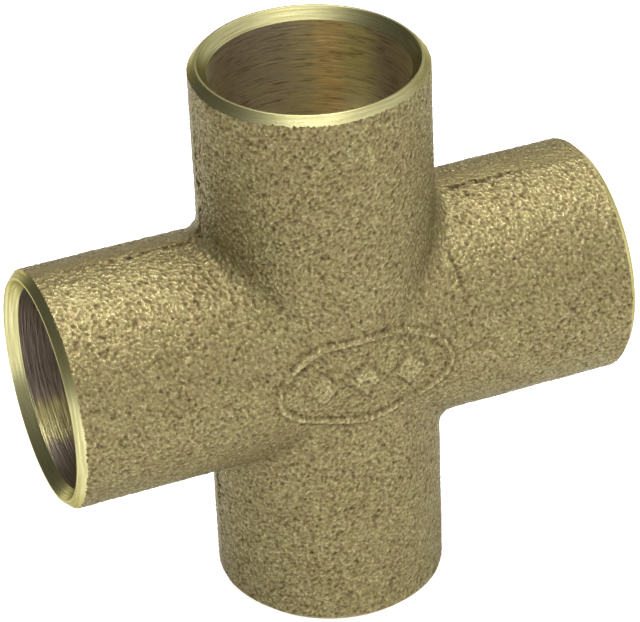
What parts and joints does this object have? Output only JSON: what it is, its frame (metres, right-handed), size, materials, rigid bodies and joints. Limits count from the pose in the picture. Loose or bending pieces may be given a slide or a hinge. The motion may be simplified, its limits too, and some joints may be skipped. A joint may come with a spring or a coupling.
{
  "type": "cross pipe fitting",
  "caption": "Cast bronze solder-joint cross for copper tube: equal open cups at right angles in one plane on a hollow body, with machined rims and sockets.",
  "frame": {"origin": "where the axes of the cups cross, in the middle of the body", "axes": "+Z along the top cup, +X along the right cup, -Y out of the front, where the raised oval is; the arms lie in the XZ plane"},
  "size_m": [0.0662, 0.0268, 0.0662],
  "materials": {
    "body_bronze": "rough sand-cast bronze, as cast",
    "cup_bronze": "rough sand-cast bronze, bright machined rim, darker tool-marked socket"
  },
  "bodies": {
    "root": {"centre_body": "body_bronze", "top_cup": "cup_bronze", "right_cup": "cup_bronze", "bottom_cup": "cup_bronze", "left_cup": "cup_bronze"}
  },
  "joints": []
}
